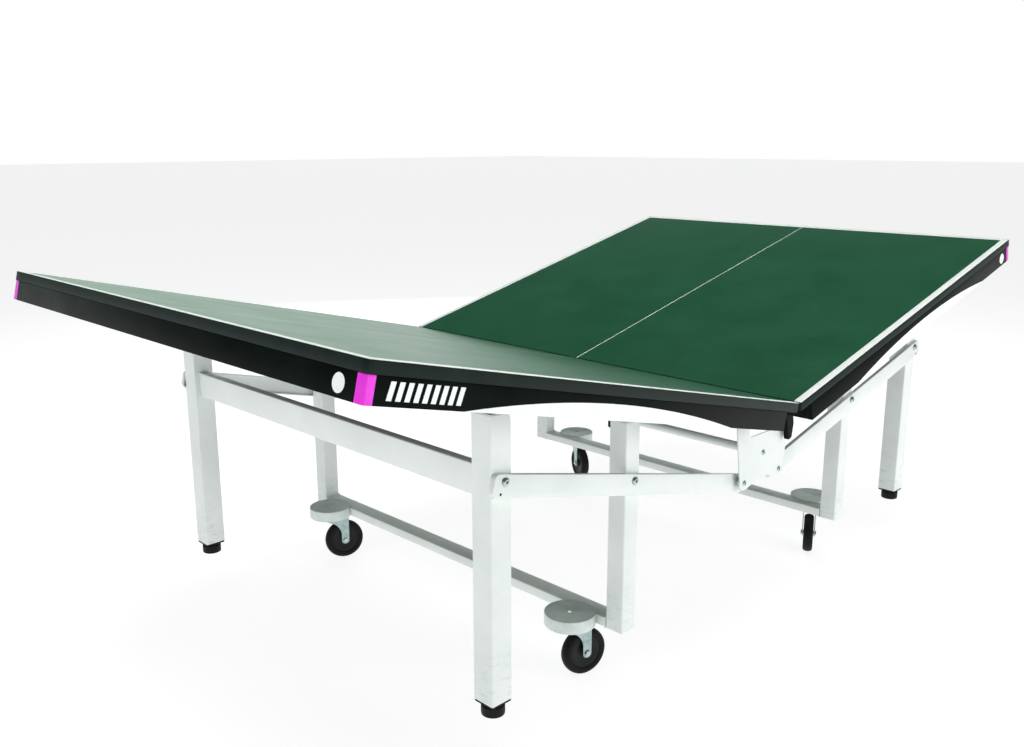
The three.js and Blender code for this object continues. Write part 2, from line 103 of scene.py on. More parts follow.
print("tilt in degrees:", round(degrees(tilt), 2))
print("link pivots at", tuple(round(c, 3) for c in inner_pivot))

# %% [markdown]
# ## The sizes this table shares
#
# A few sizes can't be read off a solid's box, such as a wall hidden inside a bar. They are written
# once here, in millimetres, and are the ones that the frame was made with.

# %% Shared sizes in millimetres
top_rise = (top_pivot.z - inner_pivot.z) / MM
leg_face = 635.0
leg_top_drop = 58.0
folded_tilt, fold_clearance = radians(75), 3.0
bar_inner, bar_outer = 636.0, 647.0
plate_inner, plate_outer = 661.0, 665.0
plate_span = plate_pivot.x / MM
gap = 0.3
print("leg pivots are", round(top_rise, 1), "mm above the link pivots")

# %% [markdown]
# ## Shaping helpers
#
# Sheet steel, board and tube all start as a block, because they are flat pieces with small rounded
# edges. A bevel takes the corner off each edge: nothing real has a perfectly sharp one, and the
# thin bright line it makes is what tells the eye that it looks at metal or lacquer.

# %% Blocks with rounded edges
def soften(shape, edges, radius, steps=2):
    made = bmesh.ops.bevel(shape, geom=list(edges), offset=radius, offset_type="OFFSET", segments=steps,
                           profile=0.5, affect="EDGES", clamp_overlap=True, material=-1)
    for face in made["faces"]:
        face.smooth = True
    return shape


def block(low, high, radius=0.0, steps=2):
    low, high = Vector(low), Vector(high)
    shape = bmesh.new()
    bmesh.ops.create_cube(shape, size=1.0)
    bmesh.ops.scale(shape, vec=high - low, verts=shape.verts)
    bmesh.ops.translate(shape, vec=(low + high) / 2, verts=shape.verts)
    return soften(shape, shape.edges, radius, steps) if radius else shape


def edges_along(shape, axis):
    return [e for e in shape.edges
            if abs((e.verts[0].co - e.verts[1].co).normalized()[axis]) > 0.99]


def rim_edges(shape, axis):
    shape.normal_update()
    return {e for f in shape.faces if abs(f.normal[axis]) > 0.99 for e in f.edges}


# %% [markdown]
# A square tube is rolled from strip, so its long corners are well rounded while its cut ends are
# nearly sharp. The long edges are bevelled first with a large radius, then the ends with a small one.

# %% Tubes and bars
def tube(low, high, axis, corner, end=0.6):
    shape = block(low, high)
    soften(shape, edges_along(shape, axis), corner, steps=4)
    return soften(shape, rim_edges(shape, axis), end, steps=1)


# %% [markdown]
# A plate cut from sheet starts as one flat face with a few corners. Each corner that is round on
# the real plate is rounded by bevelling its vertex, and the face is then extruded to the sheet's
# thickness. The distance to cut back along an edge follows from the radius and the corner's angle.

# %% Cut plates
def slab(outline, low, high, upright=True, rim=0.5, steps=6):
    shape = bmesh.new()
    spot = (lambda x, v: (x, low, v)) if upright else (lambda x, v: (x, v, low))
    verts = [shape.verts.new(spot(x, v)) for x, v, radius in outline]
    shape.faces.new(verts)
    before = [v.co.copy() for v in verts]
    for i, (vert, (x, v, radius)) in enumerate(zip(verts, outline)):
        if radius:
            one, two = before[i - 1] - before[i], before[(i + 1) % len(before)] - before[i]
            back = radius / tan(one.angle(two) / 2)
            bmesh.ops.bevel(shape, geom=[vert], offset=back, offset_type="OFFSET", segments=steps,
                            profile=0.5, affect="VERTICES", clamp_overlap=False, material=-1)
    grown = bmesh.ops.extrude_face_region(shape, geom=shape.faces[:])
    moved = [v for v in grown["geom"] if isinstance(v, bmesh.types.BMVert)]
    way = (0, high - low, 0) if upright else (0, 0, high - low)
    bmesh.ops.translate(shape, vec=way, verts=moved)
    bmesh.ops.recalc_face_normals(shape, faces=shape.faces)
    return soften(shape, rim_edges(shape, 1 if upright else 2), rim, steps=1) if rim else shape


# %% [markdown]
# Bolts, washers, feet, wheels and bearing races are turned or moulded round, so each is half a
# section spun once about its axis. The ring is merged where it closes and at its poles, and its
# faces are turned to point outwards.

# %% Turned pieces
def turned(section, closed=False, steps=32):
    shape = bmesh.new()
    verts = [shape.verts.new((radius, 0, height)) for radius, height in section]
    edges = [shape.edges.new(pair) for pair in zip(verts, verts[1:])]
    if closed:
        edges.append(shape.edges.new((verts[-1], verts[0])))
    bmesh.ops.spin(shape, geom=verts + edges, cent=(0, 0, 0), axis=(0, 0, 1), angle=2 * pi,
                   steps=steps, use_merge=True, use_duplicate=False)
    bmesh.ops.remove_doubles(shape, verts=shape.verts, dist=0.001)
    bmesh.ops.recalc_face_normals(shape, faces=shape.faces)
    for face in shape.faces:
        face.smooth = True
    return shape


def move(shape, x=0.0, y=0.0, z=0.0):
    bmesh.ops.translate(shape, vec=(x, y, z), verts=shape.verts)
    return shape


def face_out(shape, way=1):
    quarter = Matrix.Rotation(-way * pi / 2, 3, "X")
    bmesh.ops.rotate(shape, cent=(0, 0, 0), matrix=quarter, verts=shape.verts)
    return shape


def bolt(x, y, z, radius, height, way=1):
    socket = 0.42 * radius
    head = turned([(0, height * 0.35), (socket, height * 0.35), (socket, height), (radius * 0.72, height),
                   (radius * 0.93, height * 0.72), (radius, height * 0.35), (radius, 0), (0, 0)])
    return move(face_out(head, way), x, y, z)


def washer(x, y, z, radius, height, way=1):
    ring = turned([(0, height), (radius - 0.4, height), (radius, height - 0.4), (radius, 0), (0, 0)])
    return move(face_out(ring, way), x, y, z)


# %% [markdown]
# ## Finishing a piece
#
# A piece is several shapes in one mesh. Each shape is given its finish before they are joined, and
# the mesh is made in its place with its object at the origin, as the frame's own solids are. A
# mirrored place turns faces inside out, so they are flipped back. The piece then rides on its body.

# %% Dressing and assembling
palette = []
totals = {"pieces": 0, "triangles": 0}


def dress(shape, finish, faces=None):
    if finish not in palette:
        palette.append(finish)
    for face in shape.faces if faces is None else faces:
        face.material_index = palette.index(finish)
    return shape


def assemble(name, place, body, shapes, replaces=()):
    whole, carrier = bmesh.new(), bpy.data.meshes.new("carrier")
    for shape in shapes:
        shape.to_mesh(carrier)
        whole.from_mesh(carrier)
        shape.free()
    bpy.data.meshes.remove(carrier)
    bmesh.ops.transform(whole, matrix=place, verts=whole.verts)
    if place.determinant() < 0:
        bmesh.ops.reverse_faces(whole, faces=whole.faces)
    used = sorted({face.material_index for face in whole.faces})
    for face in whole.faces:
        face.material_index = used.index(face.material_index)
    mesh = bpy.data.meshes.new(name)
    whole.to_mesh(mesh)
    totals["pieces"] += 1
    totals["triangles"] += sum(len(face.verts) - 2 for face in whole.faces)
    whole.free()
    mesh.set_sharp_from_angle(angle=radians(38))
    for index in used:
        mesh.materials.append(palette[index])
    piece = bpy.data.objects.new(name, mesh)
    bpy.context.scene.collection.objects.link(piece)
    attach(piece, body)
    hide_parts(*(replaces or [name.removesuffix("_finished")]))
    return piece


# %% [markdown]
# ## Making materials
#
# One small function adds a node, sets it and links it. Colours are written as the hex values that
# a paint chart gives, and one function turns them to the linear light that the shader works in.

# %% Node and colour helpers
def add(tree, kind, inputs=None, **settings):
    node = tree.nodes.new(kind)
    for key, value in settings.items():
        setattr(node, key, value)
    for key, value in (inputs or {}).items():
        if isinstance(value, bpy.types.NodeSocket):
            tree.links.new(value, node.inputs[key])
        else:
            node.inputs[key].default_value = value
    return node


def linear(colour):
    channels = [int(colour[i:i + 2], 16) / 255 for i in (1, 3, 5)]
    return [c / 12.92 if c <= 0.04045 else ((c + 0.055) / 1.055) ** 2.4 for c in channels] + [1.0]


# %% [markdown]
# Painted, moulded and plated surfaces share one recipe: a broad cloudiness moves the colour and
# the gloss a little, as handling and uneven film do, and a fine grain moves the surface itself.
# What tells them apart is the size of those patterns in real millimetres and how rough they are.
# The sizes are turned into pattern scales by dividing a metre by them.

# %% The shared recipe
def finish_of(name, tones, cloud_mm, gloss, grain_mm, depth_mm, stretch=(1, 1, 1), **shader_values):
    material = bpy.data.materials.new(name)
    material.use_nodes = True
    tree = material.node_tree
    tree.nodes.clear()
    where = add(tree, "ShaderNodeTexCoord").outputs["Object"]
    drawn = add(tree, "ShaderNodeMapping", {"Vector": where, "Scale": stretch}).outputs["Vector"]
    cloud = add(tree, "ShaderNodeTexNoise", {"Vector": drawn, "Scale": 1 / (cloud_mm * MM), "Detail": 4.0,
                                             "Roughness": 0.55})
    ramp = add(tree, "ShaderNodeValToRGB", {"Fac": cloud.outputs["Fac"]})
    for stop, place, tone in zip(ramp.color_ramp.elements, (0.3, 0.7), tones):
        stop.position, stop.color = place, linear(tone)
    rough = add(tree, "ShaderNodeMapRange", {"Value": cloud.outputs["Fac"], "From Min": 0.3,
                                             "From Max": 0.7, "To Min": gloss[0], "To Max": gloss[1]})
    grain = add(tree, "ShaderNodeTexNoise", {"Vector": drawn, "Scale": 1 / (grain_mm * MM), "Detail": 2.0})
    bump = add(tree, "ShaderNodeBump", {"Height": grain.outputs["Fac"], "Strength": 1.0,
                                        "Distance": depth_mm * MM})
    shader = add(tree, "ShaderNodeBsdfPrincipled", {
        "Base Color": ramp.outputs["Color"], "Roughness": rough.outputs["Result"],
        "Normal": bump.outputs["Normal"], **shader_values})
    add(tree, "ShaderNodeOutputMaterial", {"Surface": shader.outputs["BSDF"]})
    print("finish", name, "cloud", cloud_mm, "mm, grain", grain_mm, "mm")
    return material


def part_of(material, kind):
    return next(node for node in material.node_tree.nodes if node.bl_idname == kind)


# %% [markdown]
# ## The playing surface finish
#
# A tournament top is board with several coats of matt green lacquer, screen printed and slightly
# textured so that the ball grips. Seen from above it is a deep even green; seen along the surface
# it turns pale, because even a matt coat reflects at a low angle. That needs a real roughness near
# 0.3 and the usual index of a lacquer, not a painted gradient. The texture is 0.5 mm on the real
# top, too fine to show, so it is drawn at 3 mm and very shallow.

# %% Matt green lacquer
green_lacquer = finish_of("matt_green_lacquer_screen_printed", ("#1D533A", "#225B40"), 160, (0.28, 0.34),
                          3.0, 0.004, **{"IOR": 1.5, "Specular IOR Level": 0.45})
tree = green_lacquer.node_tree
coat_ramp = part_of(green_lacquer, "ShaderNodeValToRGB")
where = part_of(green_lacquer, "ShaderNodeTexCoord").outputs["Object"]
# fine rubbed marks from cleaning, long and thin, running across the table
rub_place = add(tree, "ShaderNodeMapping", {"Vector": where, "Scale": (1.0, 0.12, 1.0)}).outputs["Vector"]
rub = add(tree, "ShaderNodeTexNoise", {"Vector": rub_place, "Scale": 1 / (9 * MM), "Detail": 3.0})
rub_tone = add(tree, "ShaderNodeValToRGB", {"Fac": rub.outputs["Fac"]})
rub_tone.color_ramp.elements[0].position, rub_tone.color_ramp.elements[0].color = 0.35, linear("#F2F2F2")
rub_tone.color_ramp.elements[1].position, rub_tone.color_ramp.elements[1].color = 0.75, linear("#FFFFFF")
tones = {0: 1.0, 6: coat_ramp.outputs["Color"], 7: rub_tone.outputs["Color"]}
worn_green = add(tree, "ShaderNodeMix", tones, data_type="RGBA", blend_type="MULTIPLY")
top_shader = part_of(green_lacquer, "ShaderNodeBsdfPrincipled")
tree.links.new(worn_green.outputs[2], top_shader.inputs["Base Color"])

# %% [markdown]
# ## The other flat finishes
#
# The lines are white lacquer printed over the green. The board's edge is sealed with a black
# laminate band, and its underside has a brown-black phenolic backing sheet that keeps the board
# flat. The badges on the frame are white vinyl film, smoother than the paint around them.

# %% Lines, edge band, backing and vinyl
white_lines = finish_of("white_line_lacquer_printed", ("#E9EFEC", "#F4F8F6"), 40, (0.36, 0.46), 2.5, 0.012)
edge_band = finish_of("black_laminate_edge_band", ("#16201D", "#1F2A27"), 60, (0.4, 0.5), 4, 0.02,
                      **{"Specular IOR Level": 0.1})
backing = finish_of("phenolic_backing_sheet", ("#1C1D1A", "#26261F"), 90, (0.55, 0.7), 5, 0.05,
                    stretch=(1, 0.25, 1))
white_vinyl = finish_of("white_vinyl_film", ("#EDF2F4", "#F6FAFB"), 50, (0.28, 0.36), 8, 0.01)

# %% [markdown]
# ## Powder coat
#
# Both frames are steel sprayed with dry paint powder and baked. The powder melts into a tough skin
# with a gentle orange peel: waves about 2 mm wide and a few hundredths of a millimetre deep. The
# waves are drawn at 5 mm here, which is as coarse as they must be to show at this distance. The
# black is satin; the white is a little glossier, so it shows soft highlights along its edges. The
# highlight levels of the black finishes are below what paint has. They are set so low because the
# pale floor would otherwise turn the frame grey.

# %% Black and white powder coat
black_coat = finish_of("black_powder_coat_satin", ("#070C0A", "#0F1613"), 110, (0.36, 0.46), 5.0, 0.035,
                       **{"Specular IOR Level": 0.05})
white_coat = finish_of("white_powder_coat_smooth", ("#DDE4E1", "#E9EFEC"), 130, (0.30, 0.42), 5.0, 0.03,
                       **{"Coat Weight": 0.2, "Coat Roughness": 0.25})

# %% [markdown]
# White legs never stay clean near the floor: shoes and mops leave grey scuffs that fade out upwards.
# The mask is the height above the floor times a broken noise, so the marks gather low and thin out.

# %% Scuffed white legs
leg_coat = finish_of("white_powder_coat_leg", ("#DDE4E1", "#E9EFEC"), 130, (0.30, 0.42), 5.0, 0.03,
                     **{"Coat Weight": 0.2, "Coat Roughness": 0.25})
tree = leg_coat.node_tree
where = part_of(leg_coat, "ShaderNodeTexCoord").outputs["Object"]
height = add(tree, "ShaderNodeSeparateXYZ", {"Vector": where}).outputs["Z"]
low_down = add(tree, "ShaderNodeMapRange", {"Value": height, "From Min": 0.32, "From Max": 0.12,
                                            "To Min": 0.0, "To Max": 0.5}).outputs["Result"]
smear_place = add(tree, "ShaderNodeMapping", {"Vector": where, "Scale": (1.0, 1.0, 3.0)}).outputs["Vector"]
smear = add(tree, "ShaderNodeTexNoise", {"Vector": smear_place, "Scale": 1 / (26 * MM), "Detail": 6.0,
                                         "Roughness": 0.7}).outputs["Fac"]
broken = add(tree, "ShaderNodeMapRange", {"Value": smear, "From Min": 0.52,
                                          "From Max": 0.72}).outputs["Result"]
scuff = add(tree, "ShaderNodeMath", {0: broken, 1: low_down}, operation="MULTIPLY").outputs["Value"]
scuffed = add(tree, "ShaderNodeMix", {0: scuff, 6: part_of(leg_coat, "ShaderNodeValToRGB").outputs["Color"],
                                      7: linear("#8E9592")}, data_type="RGBA")
tree.links.new(scuffed.outputs[2], part_of(leg_coat, "ShaderNodeBsdfPrincipled").inputs["Base Color"])

# %% [markdown]
# The castor housings are cast aluminium under the same white powder. A cast skin is coarser than
# rolled steel, so its grain is larger and deeper and the paint looks duller on it. Its two tones are
# set darker and greener than the white coat's: painted shade for housings that sit under the table.

# %% Painted casting
cast_coat_and_painted_shade = finish_of("white_powder_coat_cast_with_painted_shade", ("#C6D2CE", "#DCE4E1"), 35, (0.42, 0.56),
                      3.0, 0.09)

# %% [markdown]
# ## Zinc, plastic and rubber
#
# The castor forks and the bolts are steel with bright zinc plate. Zinc crystals give it a faintly
# patchy, cool sheen. The corner guards are moulded magenta plastic, smooth and glossy. The feet and
# tyres are black rubber: dull, slightly grey where dust sits in the moulded grain.

# %% Zinc plate
zinc_plate = finish_of("zinc_plated_pressed_steel", ("#93AAA8", "#B9C9C8"), 14, (0.26, 0.4), 2.5, 0.02,
                       **{"Metallic": 1.0})
bolt_zinc = finish_of("zinc_plated_turned_steel", ("#B4BEBF", "#D2DADB"), 6, (0.24, 0.34), 1.5, 0.01,
                      **{"Metallic": 1.0})

# %% Magenta plastic and hub nylon
magenta_plastic = finish_of("magenta_moulded_abs", ("#E326D6", "#F23BE6"), 45, (0.26, 0.34), 2.0, 0.015,
                            **{"IOR": 1.53})
# The same black also paints the small holes in the leg caps and link bars as thin discs: painted shade for their
# dark insides.
black_nylon_and_hole_shade = finish_of("black_nylon_hub_and_painted_hole_shade", ("#0F1111", "#181A1A"), 20, (0.4, 0.52), 2.0, 0.03,
                      **{"Specular IOR Level": 0.25})

# %% Rubber
foot_rubber = finish_of("black_moulded_rubber_foot", ("#0A0B0B", "#141616"), 18, (0.5, 0.66), 2.0, 0.05,
                        **{"Specular IOR Level": 0.2})
tyre_rubber = finish_of("black_solid_rubber_tyre", ("#090A09", "#171815"), 22, (0.52, 0.72), 2.5, 0.08,
                        **{"Specular IOR Level": 0.2})

# %% [markdown]
# ## The playing tops
#
# Each half is one 25 mm board. Its edges are rounded a little so that the lacquer holds, which a
# bevel gives. The white lines are not separate strips: they are printed, so the top face is cut
# along their edges and the cut faces are given the line finish. The side and end lines are 20 mm
# wide, the centre line 3 mm, and there is none along the net end.

# %% Playing tops
side_line, centre_line, edge_radius = 20.0, 3.0, 1.2


def playing_top(side):
    place = place_at(side, top_pivot, tilt)
    low, high = measure(f"{side}_top_panel", place)
    shape = block(low, high, edge_radius)
    cuts = [((high.x - side_line, 0, 0), (1, 0, 0)), ((0, high.y - side_line, 0), (0, 1, 0)),
            ((0, low.y + side_line, 0), (0, 1, 0)), ((0, centre_line / 2, 0), (0, 1, 0)),
            ((0, -centre_line / 2, 0), (0, 1, 0))]
    for point, way in cuts:
        bmesh.ops.bisect_plane(shape, geom=shape.verts[:] + shape.edges[:] + shape.faces[:], dist=0.001,
                               plane_co=point, plane_no=way)
    shape.normal_update()
    dress(shape, edge_band)
    dress(shape, backing, [f for f in shape.faces if f.normal.z < -0.99])
    upper = [f for f in shape.faces if f.normal.z > 0.3]
    spots = [(f, f.calc_center_median()) for f in upper]
    dress(shape, green_lacquer, upper)
    dress(shape, white_lines, [f for f, c in spots if c.x > high.x - side_line
                               or abs(c.y) > high.y - side_line or abs(c.y) < centre_line / 2])
    return place, shape, low, high


for side in half_turn:
    place, shape, low, high = playing_top(side)
    assemble(f"{side}_top_panel_finished", place, f"{side}_top", [shape])
    print(side, "top is", round(high.x - low.x), "by", round(high.y - low.y), "mm")

# %% [markdown]
# ## The frame under each top
#
# Black box sections run round the board: side aprons, an end apron and a rail near the net end.
# Their faces are folded sheet, with 2 mm corners. The side aprons carry a long white badge shaped
# like a slice of a very large circle. It is made the way a cutter would make it: a disc of the
# right radius, cut by a straight line, and given the thickness of a film. The apron's face stands
# a third of a millimetre back, so the film still ends flush with the frame's outer size.

# %% Side aprons
film = 0.2
badge_start, badge_end, badge_rise = 297.0, 1152.0, 34.0


def circle_slice(x0, x1, rise, base, y0, y1):
    half = (x1 - x0) / 2
    radius = (half * half + rise * rise) / (2 * rise)
    shape = bmesh.new()
    bmesh.ops.create_circle(shape, cap_ends=True, radius=radius, segments=960)
    bmesh.ops.rotate(shape, cent=(0, 0, 0), matrix=Matrix.Rotation(pi / 2, 3, "X"), verts=shape.verts)
    move(shape, (x0 + x1) / 2, y0, base + rise - radius)
    bmesh.ops.bisect_plane(shape, geom=shape.verts[:] + shape.edges[:] + shape.faces[:], dist=0.001,
                           plane_co=(0, 0, base), plane_no=(0, 0, 1), clear_inner=True)
    grown = bmesh.ops.extrude_face_region(shape, geom=shape.faces[:])
    bmesh.ops.translate(shape, vec=(0, y1 - y0, 0),
                        verts=[v for v in grown["geom"] if isinstance(v, bmesh.types.BMVert)])
    bmesh.ops.recalc_face_normals(shape, faces=shape.faces)
    return shape


def badge_block(x0, x1, z0, z1, y0, y1, lean=0.0):
    shape = block((x0, y0, z0), (x1, y1, z1))
    for vert in shape.verts:
        vert.co.x += lean * (vert.co.z - z0)
    return shape


# %% [markdown]
# The frame sides also carry plain badges: a row of slanted white bars beside one corner guard and a
# round white spot near the other. They are simple stand-ins that only keep the rhythm of light
# marks on the dark frame. Small screws hold each apron to the board from below.

# %% Badges and screws on the side aprons
def slanted_bars(start, count, pitch, width, low, face):
    bars = [badge_block(start + i * pitch, start + i * pitch + width, low.z + 10, low.z + 42,
                        face - film / 2, face + film, lean=-0.18) for i in range(count)]
    return [dress(bar, white_vinyl) for bar in bars]


def spot(x, y, z, radius, way_matrix):
    disc = turned([(0, film), (radius, film), (radius, -film / 2), (0, -film / 2)], steps=48)
    bmesh.ops.rotate(disc, cent=(0, 0, 0), matrix=way_matrix, verts=disc.verts)
    return dress(move(disc, x, y, z), white_vinyl)


def screws_below(x0, x1, y, z, count):
    step = (x1 - x0) / (count - 1)
    made = []
    for i in range(count):
        head = turned([(0, -0.2), (2.4, -0.2), (4.2, 1.6), (4.2, 2.2), (0, 2.2)], steps=16)
        made.append(dress(move(head, x0 + i * step, y, z), bolt_zinc))
    return made


for (side, end), across in corners.items():
    place = place_at(side, top_pivot, tilt, across)
    name = f"{side}_{end}_side_apron"
    low, high = measure(name, place)
    net_end = measure(f"{side}_top_panel", place)[0].x
    face = high.y - film - 0.1
    rail = dress(block(low, (high.x, face, high.z), 1.6), black_coat)
    shapes = [rail, dress(circle_slice(net_end + badge_start, net_end + badge_end, badge_rise, low.z + 0.4,
                                       face - film / 2, face + film), white_vinyl)]
    if (side, end) == ("left", "front"):
        shapes += slanted_bars(net_end + 1162, 9, 19.0, 11.0, low, face)
    if (side, end) == ("right", "front"):
        shapes.append(spot(high.x - 42, face, (low.z + high.z) / 2, 17, Matrix.Rotation(-pi / 2, 3, "X")))
    shapes += screws_below(low.x + 60, high.x - 60, (low.y + face) / 2, low.z + 0.2, 6)
    assemble(f"{name}_finished", place, f"{side}_top", shapes)
print("side apron section is", round(high.y - low.y, 1), "by", round(high.z - low.z, 1), "mm")

# %% [markdown]
# The end apron closes the outer end. It is the same folded section, with one round badge towards
# the front corner of the near half, and screws up into the board.

# %% End aprons
for side in half_turn:
    place = place_at(side, top_pivot, tilt)
    low, high = measure(f"{side}_end_apron", place)
    face = high.x - film - 0.1
    rail = dress(block(low, (face, high.y, high.z), 1.6), black_coat)
    shapes = [rail]
    if side == "left":
        shapes.append(spot(face, high.y - 46, (low.z + high.z) / 2, 17, Matrix.Rotation(pi / 2, 3, "Y")))
    for i in range(7):
        y = low.y + 80 + i * (high.y - low.y - 160) / 6
        shapes += screws_below((low.x + face) / 2, (low.x + face) / 2 + 1, y, low.z + 0.2, 2)[:1]
    assemble(f"{side}_end_apron_finished", place, f"{side}_top", shapes)
print("end apron is", round(high.y - low.y), "mm long")

# %% [markdown]
# Inside the frame, a cross rail stiffens the net end, a thin steel strip under the overhang takes
# the net post's clamp, and two deep pivot rails carry the legs. They are plain flat bar, drilled
# for bolts, so blocks with small bevels and a row of bolt heads say all there is to say.

# %% Cross rails, clamp strips and pivot rails
for side in half_turn:
    place = place_at(side, top_pivot, tilt)
    low, high = measure(f"{side}_inner_rail", place)
    shapes = [dress(block(low, high, 1.6), black_coat)]
    for i in range(5):
        y = low.y + 60 + i * (high.y - low.y - 120) / 4
        shapes += screws_below((low.x + high.x) / 2, (low.x + high.x) / 2 + 1, y, low.z + 0.2, 2)[:1]
    assemble(f"{side}_inner_rail_finished", place, f"{side}_top", shapes)
    low, high = measure(f"{side}_clamp_strip", place)
    strip = [dress(block(low, high, 0.5), black_coat)]
    for i in range(9):
        y = low.y + 30 + i * (high.y - low.y - 60) / 8
        strip += screws_below((low.x + high.x) / 2, (low.x + high.x) / 2 + 1, y, low.z + 0.1, 2)[:1]
    assemble(f"{side}_clamp_strip_finished", place, f"{side}_top", strip)

for (side, end), across in corners.items():
    place = place_at(side, top_pivot, tilt, across)
    name = f"{side}_{end}_pivot_rail"
    low, high = measure(name, place)
    shapes = [dress(block(low, high, 0.8), black_coat)]
    for i in range(8):
        x = low.x + 50 + i * (high.x - low.x - 100) / 7
        if min(abs(x), abs(x - (outer_pivot - inner_pivot).length / MM)) > 30:
            shapes.append(dress(bolt(x, low.y + 0.4, high.z - 8, 4.0, 0.4, way=-1), bolt_zinc))
    assemble(f"{name}_finished", place, f"{side}_top", shapes)
print("pivot rails are", round(high.y - low.y), "mm thick")

# %% [markdown]
# ## Corner guards and clamp blocks
#
# The magenta guards clip over the frame's outer corners. Each is an L in plan, so it is drawn as
# six corners from above, with the outermost rounded, and extruded upwards. A shallow bead runs up
# each edge where the moulding laps over the apron.

# %% Corner guards
for (side, end), across in corners.items():
    place = place_at(side, top_pivot, tilt, across)
    name = f"{side}_{end}_corner_guard"
    low, high = measure(name, place)
    wall = 18.0
    outline = [(high.x - 0.4, low.y, 0), (high.x - 0.4, high.y - 0.4, 4), (low.x, high.y - 0.4, 0),
               (low.x, high.y - wall, 0), (high.x - wall, high.y - wall, 0), (high.x - wall, low.y, 0)]
    shapes = [dress(slab(outline, low.z, high.z, upright=False, rim=1.0), magenta_plastic)]
    for z in (low.z + 3.0, high.z - 3.0):
        end_bead = block((high.x - 6, low.y + 0.5, z - 0.8), (high.x - 0.1, high.y - 6, z + 0.8), 0.3)
        side_bead = block((low.x + 0.5, high.y - 6, z - 0.8), (high.x - 6, high.y - 0.1, z + 0.8), 0.3)
        shapes += [dress(bead, magenta_plastic) for bead in (end_bead, side_bead)]
    assemble(f"{name}_finished", place, f"{side}_top", shapes)
print("guard reaches", round(high.x - low.x, 1), "mm round the corner")

# %% [markdown]
# A folded box closes the frame beside the net clamp and holds the pin of the centre plate. The pin
# comes from a round boss pressed into its inner wall. On one half a short bracket hangs from it: a
# plate with a sloping edge, cut and extruded like the other plates.

# %% Clamp blocks
for (side, end), across in corners.items():
    place = place_at(side, top_pivot, tilt, across)
    name = f"{side}_{end}_clamp_block"
    low, high = measure(name, place)
    inner_face = plate_outer + 8
    along = Vector((inner_pivot.x - plate_pivot.x, inner_pivot.z - plate_pivot.z)) / MM
    pin_x = -(along.x * cos(tilt) + along.y * sin(tilt))
    pin_z = -(along.y * cos(tilt) - along.x * sin(tilt))
    bottom = measure(f"{side}_{end}_side_apron", place)[0].z
    body = dress(block((low.x, inner_face, bottom), high, 1.4), black_coat)
    pin = dress(move(face_out(turned([(0, 0), (3.9, 0), (3.9, -15.0), (3.2, -15.7), (0, -15.7)])),
                     pin_x, inner_face + 1, pin_z), bolt_zinc)
    collar = dress(washer(pin_x, inner_face, pin_z, 8, 0.9, way=-1), bolt_zinc)
    shapes = [body, pin, collar]
    if side == "right":
        outline = [(low.x, bottom + 1.5, 0), (low.x, low.z, 2), (low.x + 16, low.z, 6),
                   (low.x + 32, (low.z + bottom) / 2, 5), (low.x + 32, bottom + 1.5, 0)]
        shapes.append(dress(slab(outline, inner_face, inner_face + 14), black_coat))
    assemble(f"{name}_finished", place, f"{side}_top", shapes)
print("plate pin sits at", round(pin_x), round(pin_z, 1), "mm from the leg's pivot")

# %% [markdown]
# ## The legs
#
# Each leg is square white tube with a flat tongue welded to its inner face. The tongue rises to the
# top's pivot, so the tube can stop short. Its inner top corner is cut off along the plane where the
# folded panel comes to lie, which bisecting the tube gives. A cap closes the tube.
# Where the link bar crosses, a bolt stands out with a washer behind the bar.

# %% Leg pieces
link_bolt_radius, link_bolt_height, link_washer, boss = 8.5, 4.5, 13.0, 8.4
frame_top = measure("right_end_apron", place_at("right", top_pivot, tilt))[1].z
fold_turn = Matrix.Rotation(-folded_tilt, 3, "Y")
fold_way = fold_turn @ Vector((0, 0, 1))
fold_point = Vector((0, 0, top_rise)) + fold_turn @ Vector((0, 0, frame_top - fold_clearance))


def cut_for_fold(shape):
    bmesh.ops.bisect_plane(shape, geom=shape.verts[:] + shape.edges[:] + shape.faces[:], dist=0.001,
                           plane_co=fold_point, plane_no=fold_way, clear_outer=True)
    bmesh.ops.holes_fill(shape, edges=[e for e in shape.edges if e.is_boundary], sides=0)
    return shape


# where a line from the tongue's foot, passing just beside the boss, reaches the boss's top
def beside_boss(x, z):
    rise = top_rise - z
    slope = atan2(rise, -x) + copysign(asin(boss / hypot(x, rise)), -x)
    return x + (rise + boss) / tan(slope)


def leg_shapes(low, high, bottom, across_face, coat):
    size = high.x - low.x
    middle = (low.x + high.x) / 2
    inside = across_face - size
    top = top_rise - leg_top_drop
    shaft = cut_for_fold(tube((low.x, inside, bottom), (high.x, across_face, top - 3.0), 2, 4.0))
    cap = cut_for_fold(block((low.x + 0.6, inside + 0.6, top - 3.2),
                             (high.x - 0.6, across_face - 0.6, top), 1.2))
    low_left, low_right = middle / 2 - 20, middle / 2 + 20
    tongue = slab([(low_left, top - 2, 0), (low_right, top - 2, 0),
                   (beside_boss(low_right, top - 2), top_rise + boss, boss - 0.1),
                   (beside_boss(low_left, top - 2), top_rise + boss, boss - 0.1)], inside, inside + 12.0)
    pin = move(face_out(turned([(0, 0), (3.9, 0), (3.9, -22.4), (3.3, -23.0), (0, -23.0)])),
               0, inside + 12.0, top_rise)
    collar = washer(0, inside - 2.6, top_rise, 7.5, 2.2)
    weld = block((low_left - 0.4, inside + 10.5, top - 0.5),
                 (low_right + 0.4, inside + 13.5, top + 1.4), 0.9)
    lock = washer(0, across_face - 0.5, 0, link_washer, bar_inner - gap - across_face + 0.5)
    stud = move(face_out(turned([(0, 0), (5.9, 0), (5.9, 13.0), (0, 13.0)])), 0, across_face - 0.2, 0)
    head = bolt(0, bar_outer + gap, 0, link_bolt_radius, link_bolt_height)
    return ([dress(s, coat) for s in (shaft, cap, tongue, weld)]
            + [dress(s, bolt_zinc) for s in (pin, collar, lock, stud, head)])


